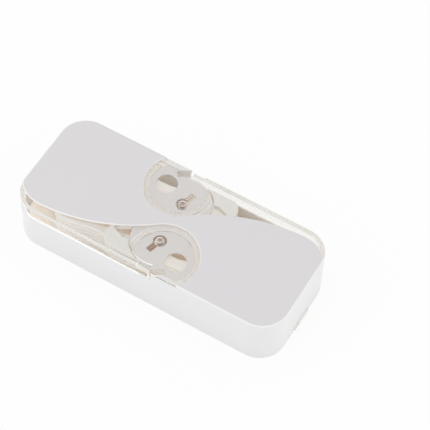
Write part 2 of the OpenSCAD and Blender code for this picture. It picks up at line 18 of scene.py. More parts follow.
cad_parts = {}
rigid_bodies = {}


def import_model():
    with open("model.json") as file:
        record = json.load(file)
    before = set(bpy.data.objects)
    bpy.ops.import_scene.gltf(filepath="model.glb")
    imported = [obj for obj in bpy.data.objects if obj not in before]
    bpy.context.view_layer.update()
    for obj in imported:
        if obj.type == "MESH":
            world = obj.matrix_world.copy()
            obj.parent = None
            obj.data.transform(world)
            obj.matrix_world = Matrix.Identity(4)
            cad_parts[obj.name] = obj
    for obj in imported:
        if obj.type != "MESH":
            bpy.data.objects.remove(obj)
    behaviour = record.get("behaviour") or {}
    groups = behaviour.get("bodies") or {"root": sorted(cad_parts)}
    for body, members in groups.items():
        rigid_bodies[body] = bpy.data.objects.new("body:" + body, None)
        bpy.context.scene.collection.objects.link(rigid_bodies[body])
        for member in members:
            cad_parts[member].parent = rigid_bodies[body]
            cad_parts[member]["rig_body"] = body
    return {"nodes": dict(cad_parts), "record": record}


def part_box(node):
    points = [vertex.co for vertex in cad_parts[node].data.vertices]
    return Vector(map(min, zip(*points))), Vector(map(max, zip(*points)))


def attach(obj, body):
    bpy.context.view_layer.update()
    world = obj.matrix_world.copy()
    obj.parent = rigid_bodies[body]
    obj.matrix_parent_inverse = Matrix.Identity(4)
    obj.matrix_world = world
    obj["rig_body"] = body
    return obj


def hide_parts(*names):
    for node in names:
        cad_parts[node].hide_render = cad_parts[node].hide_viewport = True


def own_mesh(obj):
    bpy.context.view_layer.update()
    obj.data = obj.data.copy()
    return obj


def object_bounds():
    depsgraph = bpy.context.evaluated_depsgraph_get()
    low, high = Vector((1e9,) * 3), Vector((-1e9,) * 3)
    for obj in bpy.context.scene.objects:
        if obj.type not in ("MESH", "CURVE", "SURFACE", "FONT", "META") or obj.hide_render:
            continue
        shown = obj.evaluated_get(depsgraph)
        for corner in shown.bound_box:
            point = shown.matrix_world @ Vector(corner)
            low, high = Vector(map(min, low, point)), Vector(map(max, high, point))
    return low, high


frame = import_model()
CAD_BOX = [list(corner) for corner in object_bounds()]
MM = 0.001
print("size in mm:", [round((hi - lo) / MM, 2) for lo, hi in zip(*CAD_BOX)])

# %% [markdown]
# ## The camera
#
# The photograph was taken from far off with a long lens, so the case hardly narrows with
# distance. The camera's direction, distance and lens below were fitted to the outline of the
# case on the floor. The camera is built from three directions at right angles: back, right
# and up, turned a little about the line of sight.

# %% Set the camera
CAM_AZIMUTH = math.radians(28.339)
CAM_ELEVATION = math.radians(56.789)
CAM_ROLL = math.radians(2.688)
CAM_DISTANCE = 0.57571
CAM_LOOKS_AT = Vector((0.00443, 0.01927, 0.0))
CAM_FOCAL_PX = 1833.5
FRAME_PX = 430
SENSOR_MM = 36.0


def make_camera():
    """A camera at CAM_DISTANCE from its target, along the direction that the two angles give."""
    back = Vector((
        math.sin(CAM_AZIMUTH) * math.cos(CAM_ELEVATION),
        -math.cos(CAM_AZIMUTH) * math.cos(CAM_ELEVATION),
        math.sin(CAM_ELEVATION),
    ))
    right = Vector((math.cos(CAM_AZIMUTH), math.sin(CAM_AZIMUTH), 0.0))
    up = back.cross(right)
    rolled_right = right * math.cos(CAM_ROLL) + up * math.sin(CAM_ROLL)
    rolled_up = up * math.cos(CAM_ROLL) - right * math.sin(CAM_ROLL)
    data = bpy.data.cameras.new("camera")
    data.sensor_width = SENSOR_MM
    data.lens = CAM_FOCAL_PX * SENSOR_MM / FRAME_PX
    data.clip_start = 0.05
    data.clip_end = 10.0
    camera = bpy.data.objects.new("camera", data)
    bpy.context.scene.collection.objects.link(camera)
    turn = Matrix((rolled_right, rolled_up, back)).transposed()
    camera.matrix_world = Matrix.Translation(CAM_LOOKS_AT + back * CAM_DISTANCE) @ turn.to_4x4()
    bpy.context.scene.camera = camera
    return camera


camera = make_camera()
bpy.context.scene.view_settings.view_transform = "Standard"
print("lens in mm:", round(camera.data.lens, 1))

# %% [markdown]
# ## Floor, sky and lamps
#
# The case stands on a pale floor that takes its shadow. For rays that come straight from the
# camera, or by way of a mirror or glass, most of the floor is clear and the sky behind it is
# plain white. So the background reads as paper white, no extra light falls on the object, and
# the bottom cover shows where it hangs below the floor. A big soft lamp at the front left
# gives the light its direction, and a smaller one lights the right end.

# %% Make the stage
FLOOR_HALF = 3.0
FLOOR_WHITE = (0.9, 0.9, 0.905, 1.0)
FLOOR_CLEAR = 0.92
FLOOR_GAP = 0.00002
WHITE = (1.0, 1.0, 1.0, 1.0)
SKY_STRENGTH = 0.8
LAMPS_LOOK_AT = (0, 0, 0.01)
# Each lamp's place, its side in metres and its power in watts
LAMPS = {
    "key": ((-0.5, -0.5, 0.55), 0.7, 2.0),
    "right_fill": ((0.85, 0.0, 0.3), 0.6, 1.3),
}


def math_node(tree, operation, a, b, clamp=False):
    """A Math node whose two inputs are sockets or plain numbers; gives its output."""
    node = tree.nodes.new("ShaderNodeMath")
    node.operation = operation
    node.use_clamp = clamp
    for socket, value in zip(node.inputs, (a, b)):
        if isinstance(value, (int, float)):
            socket.default_value = value
        else:
            tree.links.new(value, socket)
    return node.outputs[0]


def seen_directly(tree):
    """1 for rays from the camera, from mirrors and through glass, and 0 for all others."""
    path = tree.nodes.new("ShaderNodeLightPath")
    first = math_node(tree, "MAXIMUM", path.outputs["Is Camera Ray"], path.outputs["Is Glossy Ray"])
    return math_node(tree, "MAXIMUM", first, path.outputs["Is Transmission Ray"])


def make_floor():
    """One large square just under the case, which lets most direct rays through."""
    half = FLOOR_HALF
    z = CAD_BOX[0][2] - FLOOR_GAP
    corners = [(-half, -half, z), (half, -half, z), (half, half, z), (-half, half, z)]
    mesh = bpy.data.meshes.new("floor")
    mesh.from_pydata(corners, [], [(0, 1, 2, 3)])
    floor = bpy.data.objects.new("floor", mesh)
    bpy.context.scene.collection.objects.link(floor)
    material = bpy.data.materials.new("floor_paper")
    material.use_nodes = True
    tree = material.node_tree
    nodes, links = tree.nodes, tree.links
    nodes.clear()
    out = nodes.new("ShaderNodeOutputMaterial")
    mix = nodes.new("ShaderNodeMixShader")
    diffuse = nodes.new("ShaderNodeBsdfDiffuse")
    diffuse.inputs["Color"].default_value = FLOOR_WHITE
    clear = nodes.new("ShaderNodeBsdfTransparent")
    links.new(math_node(tree, "MULTIPLY", seen_directly(tree), FLOOR_CLEAR), mix.inputs[0])
    links.new(diffuse.outputs[0], mix.inputs[1])
    links.new(clear.outputs[0], mix.inputs[2])
    links.new(mix.outputs[0], out.inputs["Surface"])
    mesh.materials.append(material)


def make_world():
    """An even pale sky, plain white where it is seen directly."""
    world = bpy.data.worlds.new("sky")
    bpy.context.scene.world = world
    world.use_nodes = True
    tree = world.node_tree
    nodes, links = tree.nodes, tree.links
    nodes.clear()
    out = nodes.new("ShaderNodeOutputWorld")
    mix = nodes.new("ShaderNodeMixShader")
    sky = nodes.new("ShaderNodeBackground")
    sky.inputs["Color"].default_value = WHITE
    sky.inputs["Strength"].default_value = SKY_STRENGTH
    seen = nodes.new("ShaderNodeBackground")
    seen.inputs["Color"].default_value = WHITE
    seen.inputs["Strength"].default_value = 1.0
    links.new(seen_directly(tree), mix.inputs[0])
    links.new(sky.outputs[0], mix.inputs[1])
    links.new(seen.outputs[0], mix.inputs[2])
    links.new(mix.outputs[0], out.inputs["Surface"])


def area_lamp(name, place, side, watts):
    """A square lamp of the given side, turned so that its face points at the case."""
    data = bpy.data.lights.new(name, "AREA")
    data.size = side
    data.energy = watts
    lamp = bpy.data.objects.new(name, data)
    bpy.context.scene.collection.objects.link(lamp)
    lamp.location = place
    lamp.rotation_mode = "QUATERNION"
    lamp.rotation_quaternion = (Vector(LAMPS_LOOK_AT) - Vector(place)).to_track_quat("-Z", "Y")


make_floor()
make_world()
for name, (place, side, watts) in LAMPS.items():
    area_lamp(name, place, side, watts)
print("lamps:", sorted(LAMPS))

# %% [markdown]
# ## Shared effects
#
# Five effects serve all the finishes. Each is a node group that puts out plain values, which
# a finish then uses as it needs. Moulded skin is the faint uneven sheen and the very fine
# texture that a steel mould leaves on plastic. Handling is the sparse scatter of faint scuffs
# on outer faces. Brushing is the fine drawn grain along a wire or a pin. The rim highlight
# finds the edges and steep sides of a sheet, which a finish paints paler as a painted highlight.
# Round axis finds a disc or a ring about an upright axis, such as a pivot's; the finishes use it
# for painted light and painted shade.

# %% Build the effect groups
# How far the edge of a disc or ring fades, in metres
MARK_SOFT = 0.0004


def new_group(name, inputs, outputs):
    """A shader node group with float sockets, (name, default) for inputs and names for outputs."""
    tree = bpy.data.node_groups.new(name, "ShaderNodeTree")
    for label, value in inputs:
        socket = tree.interface.new_socket(name=label, in_out="INPUT", socket_type="NodeSocketFloat")
        socket.default_value = value
    for label in outputs:
        tree.interface.new_socket(name=label, in_out="OUTPUT", socket_type="NodeSocketFloat")
    return tree, tree.nodes.new("NodeGroupInput"), tree.nodes.new("NodeGroupOutput")


def noise_node(tree, scale, detail, stretch=(1.0, 1.0, 1.0)):
    """Noise in object coordinates, with features 1 / scale metres across."""
    place = tree.nodes.new("ShaderNodeTexCoord")
    mapping = tree.nodes.new("ShaderNodeMapping")
    mapping.inputs["Scale"].default_value = stretch
    tree.links.new(place.outputs["Object"], mapping.inputs["Vector"])
    noise = tree.nodes.new("ShaderNodeTexNoise")
    noise.inputs["Detail"].default_value = detail
    tree.links.new(mapping.outputs["Vector"], noise.inputs["Vector"])
    if isinstance(scale, (int, float)):
        noise.inputs["Scale"].default_value = scale
    else:
        tree.links.new(scale, noise.inputs["Scale"])
    return noise.outputs["Fac"]


def moulded_skin():
    """Height is fine noise, Grain features to the metre. Roughness drifts about its base, Shade about 1."""
    tree, given, out = new_group(
        "moulded_skin",
        [("Grain", 9000.0), ("Roughness", 0.4), ("Drift", 0.06), ("Shade", 0.015)],
        ["Height", "Roughness", "Shade"],
    )
    fine = noise_node(tree, given.outputs["Grain"], detail=2.0)
    broad = noise_node(tree, scale=55.0, detail=3.0)
    centred = math_node(tree, "SUBTRACT", broad, 0.5)
    drift = math_node(tree, "MULTIPLY", centred, given.outputs["Drift"])
    rough = math_node(tree, "ADD", given.outputs["Roughness"], drift, clamp=True)
    shade = math_node(tree, "ADD", math_node(tree, "MULTIPLY", centred, given.outputs["Shade"]), 1.0)
    tree.links.new(fine, out.inputs["Height"])
    tree.links.new(rough, out.inputs["Roughness"])
    tree.links.new(shade, out.inputs["Shade"])
    return tree


def handling():
    """Scuffs: thin bright threads where a stretched noise crosses its middle, kept to a few patches."""
    tree, given, out = new_group(
        "handling", [("Amount", 0.3), ("Thread", 0.006), ("Patches", 0.62)], ["Scuffs"]
    )
    threads = noise_node(tree, scale=700.0, detail=2.0, stretch=(1.0, 0.12, 1.0))
    ridge = math_node(tree, "ABSOLUTE", math_node(tree, "SUBTRACT", threads, 0.5), 0.0)
    line = math_node(tree, "LESS_THAN", ridge, given.outputs["Thread"])
    spread = noise_node(tree, scale=160.0, detail=1.0)
    patch = math_node(tree, "GREATER_THAN", spread, given.outputs["Patches"])
    both = math_node(tree, "MULTIPLY", line, patch)
    tree.links.new(math_node(tree, "MULTIPLY", both, given.outputs["Amount"]), out.inputs["Scuffs"])
    return tree


def brushing():
    """Height is noise drawn out along Z, and Roughness swings about its base with it by Depth."""
    tree, given, out = new_group("brushing", [("Roughness", 0.3), ("Depth", 0.2)], ["Height", "Roughness"])
    grain = noise_node(tree, scale=16000.0, detail=3.0, stretch=(1.0, 1.0, 0.04))
    swing = math_node(tree, "MULTIPLY", math_node(tree, "SUBTRACT", grain, 0.5), given.outputs["Depth"])
    tree.links.new(grain, out.inputs["Height"])
    rough = math_node(tree, "ADD", given.outputs["Roughness"], swing, clamp=True)
    tree.links.new(rough, out.inputs["Roughness"])
    return tree


# Painted highlight: the mask marks the edges and steep sides of a sheet, which the plate paints paler.
def painted_rim_highlight():
    """Mask is (Level - up) / (Level - Slope), cut to between 0 and 1; up is the normal's upward part."""
    tree, given, out = new_group("painted_rim_highlight", [("Level", 0.995), ("Slope", 0.6)], ["Mask"])
    shape = tree.nodes.new("ShaderNodeNewGeometry")
    parts = tree.nodes.new("ShaderNodeSeparateXYZ")
    tree.links.new(shape.outputs["Normal"], parts.inputs[0])
    upward = math_node(tree, "ABSOLUTE", parts.outputs["Z"], 0.0)
    fall = math_node(tree, "SUBTRACT", given.outputs["Level"], upward)
    span = math_node(tree, "SUBTRACT", given.outputs["Level"], given.outputs["Slope"])
    tree.links.new(math_node(tree, "DIVIDE", fall, span, clamp=True), out.inputs["Mask"])
    return tree


def round_axis():
    """Mask about the upright axis at X, Y: 0 up to Inner, 1 up to Radius, then down to 0 over Soft."""
    tree, given, out = new_group(
        "round_axis",
        [("X", 0.0), ("Y", 0.0), ("Inner", 0.0), ("Radius", 0.003), ("Soft", MARK_SOFT)],
        ["Mask"],
    )
    place = tree.nodes.new("ShaderNodeTexCoord")
    parts = tree.nodes.new("ShaderNodeSeparateXYZ")
    tree.links.new(place.outputs["Object"], parts.inputs[0])
    dx = math_node(tree, "SUBTRACT", parts.outputs["X"], given.outputs["X"])
    dy = math_node(tree, "SUBTRACT", parts.outputs["Y"], given.outputs["Y"])
    dx_squared = math_node(tree, "MULTIPLY", dx, dx)
    dy_squared = math_node(tree, "MULTIPLY", dy, dy)
    distance = math_node(tree, "SQRT", math_node(tree, "ADD", dx_squared, dy_squared), 0.0)
    away = math_node(tree, "SUBTRACT", distance, given.outputs["Radius"])
    faded = math_node(tree, "DIVIDE", away, given.outputs["Soft"], clamp=True)
    beyond = math_node(tree, "GREATER_THAN", distance, given.outputs["Inner"])
    inside = math_node(tree, "SUBTRACT", 1.0, faded)
    tree.links.new(math_node(tree, "MULTIPLY", inside, beyond), out.inputs["Mask"])
    return tree


SKIN = moulded_skin()
HANDLING = handling()
BRUSHING = brushing()
PAINTED_RIM_HIGHLIGHT = painted_rim_highlight()
ROUND_AXIS = round_axis()
print("effect groups:", [group.name for group in (SKIN, HANDLING, BRUSHING, PAINTED_RIM_HIGHLIGHT, ROUND_AXIS)])

# %% [markdown]
# ## Finishes
#
# Opaque plastic is one Principled shader whose colour, roughness and bump come from the
# effect groups. The clear plastic is a real transmitting shader. Light from the lamps would
# stop at it, because a path tracer sends shadow rays straight through nothing but empty
# space, so a tinted transparent shader takes its place for shadow rays and for the soft
# light that goes from one dull face to another. Past a few bounces it takes over for every
# ray, which frees those that are caught between two polished faces. White plastic a
# millimetre thick lets light through as well, so a share of the same shader, tinted a little
# warm, is in every opaque moulding. The bottom cover is a milky version of the clear plastic.
# The platform is pale, with painted warm shade towards its middle, which shows through the round windows.

# %% Plastics and metal
CLEAR_IOR = 1.49
CLEAR_BUMP, STEEL_BUMP = 0.0000015, 0.000006
# The dark end of bare steel's tones, as a share of its colour
STEEL_DARK = 0.85
# How many faces a ray may meet before the clear plastic lets it go straight on
TRAPPED_AFTER = 3


def start_material(name):
    """An empty node material with an output and a Principled shader."""
    material = bpy.data.materials.new(name)
    material.use_nodes = True
    tree = material.node_tree
    tree.nodes.clear()
    out = tree.nodes.new("ShaderNodeOutputMaterial")
    shader = tree.nodes.new("ShaderNodeBsdfPrincipled")
    tree.links.new(shader.outputs[0], out.inputs["Surface"])
    return material, tree, out, shader


def group_node(tree, group, **values):
    """A group placed in a material, with its inputs set by name."""
    node = tree.nodes.new("ShaderNodeGroup")
    node.node_tree = group
    for label, value in values.items():
        node.inputs[label].default_value = value
    return node


def add_bump(tree, shader, height, depth):
    """Bump of the given depth in metres from a height socket."""
    bump = tree.nodes.new("ShaderNodeBump")
    bump.inputs["Distance"].default_value = depth
    tree.links.new(height, bump.inputs["Height"])
    tree.links.new(bump.outputs[0], shader.inputs["Normal"])


def shaded_colour(tree, colour, shade):
    """The colour, multiplied by a value that drifts about 1."""
    mix = tree.nodes.new("ShaderNodeVectorMath")
    mix.operation = "SCALE"
    mix.inputs[0].default_value = colour
    tree.links.new(shade, mix.inputs["Scale"])
    return mix.outputs[0]


def masked_colour(tree, colour, other, mask):
    """The colour where the mask is 0 and the other where it is 1."""
    mix = tree.nodes.new("ShaderNodeMix")
    mix.data_type = "RGBA"
    tree.links.new(mask, mix.inputs["Factor"])
    tree.links.new(colour, mix.inputs["A"])
    mix.inputs["B"].default_value = (*other, 1.0)
    return mix.outputs["Result"]


def let_light_through(tree, out, shader, share, tint, trapped_after=None):
    """Mixes a share of a tinted see-through shader in, for lamp rays and soft light alone.

    With trapped_after, a ray that has met more faces than that goes straight on as well: it would
    otherwise run to and fro between the two faces of a clear sheet and end as a black line.
    """
    path = tree.nodes.new("ShaderNodeLightPath")
    soft = math_node(tree, "MAXIMUM", path.outputs["Is Shadow Ray"], path.outputs["Is Diffuse Ray"])
    if trapped_after:
        trapped = math_node(tree, "GREATER_THAN", path.outputs["Ray Depth"], trapped_after + 0.5)
        soft = math_node(tree, "MAXIMUM", soft, trapped)
    straight = tree.nodes.new("ShaderNodeBsdfTransparent")
    straight.inputs["Color"].default_value = (*tint, 1.0)
    if share < 1:
        soft = math_node(tree, "MULTIPLY", soft, share)
    mix = tree.nodes.new("ShaderNodeMixShader")
    tree.links.new(soft, mix.inputs[0])
    tree.links.new(shader.outputs[0], mix.inputs[1])
    tree.links.new(straight.outputs[0], mix.inputs[2])
    tree.links.new(mix.outputs[0], out.inputs["Surface"])


def moulded_plastic(
    name, colour, roughness, grain, depth, thin, scuffs=0.0, rim=None, hubs=(), soft=MARK_SOFT
):
    """Opaque moulded plastic: skin and fine bump, and if asked scuffs, a painted highlight on the rim, and
    hubs of painted light and shade.

    thin is the share and the tint of the light let through, rim is the colour of a painted highlight on
    edges and steep sides, and each hub is (x, y, inner radius, outer radius, colour) and fades out over
    soft.
    """
    material, tree, out, shader = start_material(name)
    skin = group_node(tree, SKIN, Grain=grain, Roughness=roughness)
    rough = skin.outputs["Roughness"]
    if scuffs:
        marks = group_node(tree, HANDLING, Amount=scuffs)
        rough = math_node(tree, "ADD", rough, marks.outputs["Scuffs"], clamp=True)
    tone = shaded_colour(tree, colour, skin.outputs["Shade"])
    # The rim colour is a painted highlight on edges and steep sides.
    if rim:
        tone = masked_colour(tree, tone, rim, group_node(tree, PAINTED_RIM_HIGHLIGHT).outputs["Mask"])
    # Each hub is a disc or ring of painted colour: painted light in the deck's groove, painted shade about
    # a lever's pivot and in the platform's middle, and a paler colour inside the front bore.
    for x, y, inner, radius, tint in hubs:
        near = group_node(tree, ROUND_AXIS, X=x, Y=y, Inner=inner, Radius=radius, Soft=soft)
        tone = masked_colour(tree, tone, tint, near.outputs["Mask"])
    tree.links.new(tone, shader.inputs["Base Color"])
    tree.links.new(rough, shader.inputs["Roughness"])
    add_bump(tree, shader, skin.outputs["Height"], depth)
    let_light_through(tree, out, shader, *thin)
    return material


def clear_plastic(name, tint, passes, clear=1.0):
    """Clear polished plastic. Shadow rays meet a transparent shader of the colour passes instead.

    A share clear below 1 makes it milky.
    """
    material, tree, out, shader = start_material(name)
    skin = group_node(tree, SKIN, Grain=500.0, Roughness=0.035, Drift=0.05, Shade=0.02)
    tree.links.new(shaded_colour(tree, tint, skin.outputs["Shade"]), shader.inputs["Base Color"])
    tree.links.new(skin.outputs["Roughness"], shader.inputs["Roughness"])
    shader.inputs["Transmission Weight"].default_value = clear
    shader.inputs["IOR"].default_value = CLEAR_IOR
    add_bump(tree, shader, skin.outputs["Height"], CLEAR_BUMP)
    let_light_through(tree, out, shader, 1.0, passes, TRAPPED_AFTER)
    return material


def drawn_steel(name, colour, roughness):
    """Bare steel wire and pins, with grain along their length."""
    material, tree, _, shader = start_material(name)
    grain = group_node(tree, BRUSHING, Roughness=roughness, Depth=0.25)
    shader.inputs["Metallic"].default_value = 1.0
    tone = noise_node(tree, scale=900.0, detail=2.0)
    ramp = tree.nodes.new("ShaderNodeValToRGB")
    ramp.color_ramp.elements[0].color = (*[c * STEEL_DARK for c in colour], 1.0)
    ramp.color_ramp.elements[1].color = (*colour, 1.0)
    tree.links.new(tone, ramp.inputs[0])
    tree.links.new(ramp.outputs[0], shader.inputs["Base Color"])
    tree.links.new(grain.outputs["Roughness"], shader.inputs["Roughness"])
    add_bump(tree, shader, grain.outputs["Height"], STEEL_BUMP)
    return material


# %% Make the finishes
# Tints of the light that gets through the walls, the picks and the clear plastic
WALL_GLOW = (1.0, 0.965, 0.925)
PICK_GLOW = (1.0, 0.945, 0.87)
CLEAR_GLOW = (0.985, 0.98, 0.965)
# In metres: the middle of the front bulb, the radii of the deck's groove about it, which is painted
# lighter, the front pivot, the radii of a lever's hub and its painted shade, and where the platform's
# painted shade ends and how it fades
BULB = (0.0045, -0.01195)
GROOVE = (0.0092, 0.0112)
PIVOT = (0.0005, -0.0074)
HUB_BORE, HUB_R = 0.0014, 0.0062
PLATFORM_SHADE_R, PLATFORM_SHADE_FADE = 0.009, 0.018
# An inner radius below zero leaves no hole
NO_HOLE = -1.0
# Painted light: the floor of the deck's groove about each bulb is painted paler than the deck
GROOVE_PAINTED_LIGHT = (0.79, 0.775, 0.77)
# A painted highlight on the cover plate's edges and steep sides
PLATE_PAINTED_HIGHLIGHT = (0.93, 0.925, 0.915)
# Painted shade about each lever's pivot, which shows down the keyholes: dark brown at the front, tan at the
# rear; and a paler colour inside the front bore
FRONT_HUB_PAINTED_SHADE, FRONT_BORE, REAR_HUB_PAINTED_SHADE = (0.37, 0.22, 0.155), (0.95, 0.94, 0.92), (0.80, 0.745, 0.68)
# Painted warm shade in the platform's middle
PLATFORM_PAINTED_SHADE = (0.68, 0.55, 0.43)
STEEL_GREY, BRONZE = (0.52, 0.51, 0.50), (0.45, 0.34, 0.27)


def opposite(place):
    """The same place after half a turn about the middle of the case."""
    return -place[0], -place[1]


def lever_plastic(name, passed, hubs):
    """The white plastic of a lever, which passes a share of the light, with painted shade about its pivot.
    """
    return moulded_plastic(
        name, (0.80, 0.79, 0.775), roughness=0.4, grain=7000.0, depth=0.000004,
        thin=(passed, WALL_GLOW), hubs=hubs,
    )


FINISH = {
    "white_plastic": moulded_plastic(
        "case_white", (0.835, 0.835, 0.846), roughness=0.34, grain=7000.0, depth=0.000004,
        thin=(0.95, WALL_GLOW), scuffs=0.25,
    ),
    # The cover plate has a painted highlight on its edges and steep sides.
    "plate_plastic": moulded_plastic(
        "plate_matt", (0.715, 0.70, 0.712), roughness=0.55, grain=5200.0, depth=0.000010,
        thin=(0.95, WALL_GLOW), scuffs=0.1, rim=PLATE_PAINTED_HIGHLIGHT,
    ),
    # The deck's groove about each bulb carries painted light.
    "deck_plastic": moulded_plastic(
        "deck_satin", (0.672, 0.655, 0.66), roughness=0.42, grain=6500.0, depth=0.000006,
        thin=(0.95, WALL_GLOW),
        hubs=[(*BULB, *GROOVE, GROOVE_PAINTED_LIGHT), (*opposite(BULB), *GROOVE, GROOVE_PAINTED_LIGHT)],
    ),
    "clear_plastic": clear_plastic("clear_shell", (0.992, 0.988, 0.978), CLEAR_GLOW),
    "steel": drawn_steel("steel", STEEL_GREY, roughness=0.3),
    "pick_plastic": moulded_plastic(
        "pick_white", (0.815, 0.81, 0.80), roughness=0.3, grain=4000.0, depth=0.000006,
        thin=(0.93, PICK_GLOW),
    ),
    "floss": moulded_plastic(
        "floss_white", (0.88, 0.88, 0.87), roughness=0.6, grain=15000.0, depth=0.00003,
        thin=(0.93, PICK_GLOW),
    ),
}
OWN_FINISH = {
    # Each lever carries painted shade in a ring about its pivot; the front one is paler inside its bore.
    "front_lever": lever_plastic(
        "front_lever_white", passed=0.3,
        hubs=[(*PIVOT, HUB_BORE, HUB_R, FRONT_HUB_PAINTED_SHADE), (*PIVOT, NO_HOLE, HUB_BORE, FRONT_BORE)],
    ),
    "rear_lever": lever_plastic(
        "rear_lever_white", passed=0.8, hubs=[(*opposite(PIVOT), HUB_BORE, HUB_R, REAR_HUB_PAINTED_SHADE)]
    ),
    # The platform's middle is painted tan as warm shade, fading outward.
    "platform": moulded_plastic(
        "platform_pale", (0.92, 0.895, 0.86), roughness=0.45, grain=6500.0, depth=0.000006,
        thin=(0.9, WALL_GLOW), hubs=[(0.0, 0.0, NO_HOLE, PLATFORM_SHADE_R, PLATFORM_PAINTED_SHADE)],
        soft=PLATFORM_SHADE_FADE,
    ),
    "bottom_cover": clear_plastic("milky_shell", (0.97, 0.965, 0.95), CLEAR_GLOW, clear=0.45),
}
for name in ("front_pivot_pin", "rear_pivot_pin", "front_return_spring", "rear_return_spring"):
    OWN_FINISH[name] = drawn_steel(name + "_bronze", BRONZE, roughness=0.35)
SLOT_OF = {part["node"]: part["material_slot"] for part in frame["record"]["subparts"]}
for node, cad in frame["nodes"].items():
    cad.data.materials.clear()
    cad.data.materials.append(OWN_FINISH.get(node, FINISH[SLOT_OF[node]]))
print("finishes:", sorted(FINISH))

# %% [markdown]
# ## Moulded edges
#
# A moulded shell has no knife edges: each rim is broken by a small radius, which shows as a
# thin line of light. The frame's pieces are exact but sharp. Each one gets a copy whose
# triangles are merged back into whole faces, and a bevel of a few tenths of a millimetre
# follows every edge that turns by more than a set angle. The plate is thinner than twice its
# radius, so a weight gives the full radius to its upper edge and a small one to the others.
# The copy stands for the frame's piece and rides on the same body.

# %% Soften the shells
WELD = 0.000002
FLAT_DEG = 0.6
EDGE_DEG = 35.0
EDGE_STEPS, UPPER_EDGE_STEPS = 2, 5
# Places along the case, in millimetres: the deck screws, the platform springs, the pivots, and
# the round windows of the deck
SCREW_X, SPRING_X, PIVOT_X, WINDOW_X = 41.8, 22.0, PIVOT[0] / MM, 8.5


def merged_copy(node, cuts):
    """A node's mesh with its corners merged and its flat faces whole, but for a seam at each x of cuts."""
    mesh = frame["nodes"][node].data.copy()
    work = bmesh.new()
    work.from_mesh(mesh)
    bmesh.ops.remove_doubles(work, verts=work.verts, dist=WELD)
    for x in cuts:
        whole = work.verts[:] + work.edges[:] + work.faces[:]
        cut = bmesh.ops.bisect_plane(
            work, geom=whole, dist=WELD, plane_co=(x * MM, 0, 0), plane_no=(1, 0, 0)
        )
        for part in cut["geom_cut"]:
            if isinstance(part, bmesh.types.BMEdge):
                part.seam = True
    bmesh.ops.dissolve_limit(
        work, angle_limit=math.radians(FLAT_DEG), verts=work.verts, edges=work.edges, delimit={"SEAM"}
    )
    work.to_mesh(mesh)
    work.free()
    return mesh


def weigh_upper_edges(mesh, lower_share):
    """Bevel weights: 1 on sharp edges at the very top, the lower share on other sharp edges, else 0."""
    ends = np.empty(len(mesh.edges) * 2, int)
    mesh.edges.foreach_get("vertices", ends)
    place = np.empty(len(mesh.vertices) * 3)
    mesh.vertices.foreach_get("co", place)
    edge_of_loop = np.empty(len(mesh.loops), int)
    mesh.loops.foreach_get("edge_index", edge_of_loop)
    corners = np.empty(len(mesh.polygons), int)
    mesh.polygons.foreach_get("loop_total", corners)
    normals = np.empty(len(mesh.polygons) * 3)
    mesh.polygons.foreach_get("normal", normals)
    face_of_loop = np.repeat(np.arange(len(mesh.polygons)), corners)
    sides = face_of_loop[np.argsort(edge_of_loop, kind="stable")].reshape(-1, 2)
    normals = normals.reshape(-1, 3)
    sharp = (normals[sides[:, 0]] * normals[sides[:, 1]]).sum(1) < math.cos(math.radians(EDGE_DEG))
    height = place.reshape(-1, 3)[:, 2][ends].reshape(-1, 2).min(1)
    weight = np.where(height > height.max() - WELD, 1.0, lower_share) * sharp
    mesh.attributes.new("bevel_weight_edge", "FLOAT", "EDGE").data.foreach_set("value", weight)


def softened(node, radius, cuts, lower_share=None):
    """A piece that stands for a node, its sharp edges rounded, the lower ones less if a share is given."""
    mesh = merged_copy(node, cuts)
    piece = bpy.data.objects.new(node + "_moulded", mesh)
    bpy.context.scene.collection.objects.link(piece)
    bevel = piece.modifiers.new("moulded_edge", "BEVEL")
    bevel.width = radius
    bevel.segments = EDGE_STEPS
    bevel.limit_method = "ANGLE"
    bevel.angle_limit = math.radians(EDGE_DEG)
    bevel.harden_normals = False
    if lower_share is not None:
        weigh_upper_edges(mesh, lower_share)
        bevel.limit_method = "WEIGHT"
        bevel.segments = UPPER_EDGE_STEPS
    mesh.shade_smooth()
    smooth = piece.modifiers.new("even_light", "WEIGHTED_NORMAL")
    smooth.keep_sharp = True
    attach(piece, frame["nodes"][node]["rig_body"])
    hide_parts(node)
    return piece


# Radius of the edges in millimetres, the places where a seam opens the holes of a flat face, and
# for the cover plate the share of the radius that its lower edges get
SOFT_EDGES = {
    "case_shell": (0.15, (-SCREW_X, 0.0, SCREW_X)),
    "s_cover_plate": (0.48, (), 0.15),
    "clear_top": (0.1, (-SCREW_X, -PIVOT_X, PIVOT_X, SCREW_X)),
    "deck_plate": (0.12, (-SCREW_X, -WINDOW_X, -PIVOT_X, PIVOT_X, WINDOW_X, SCREW_X)),
    "front_gate": (0.15, ()),
    "rear_gate": (0.15, ()),
    "front_lever": (0.12, (PIVOT_X,)),
    "rear_lever": (0.12, (-PIVOT_X,)),
    "bottom_cover": (0.15, (-SPRING_X, SPRING_X)),
    "platform": (0.2, (-SPRING_X, SPRING_X)),
}
for node, (radius, *rest) in SOFT_EDGES.items():
    piece = softened(node, radius * MM, *rest)
    print(piece.name, len(piece.data.polygons), "faces before the bevel")

# %% [markdown]
# ## Picks
#
# A disposable pick is one flat moulding: a curved bow that holds the floss between two
# arms, a slim handle with a ribbed grip, and a bent tip. Its outline is a smooth curve
# through a few chosen points. The flat shape gets its thickness from a stack of rings: each
# ring is the outline drawn in a little, as a quarter circle at the upper and lower edge asks.
# The grip's ribs are low bars with round backs.

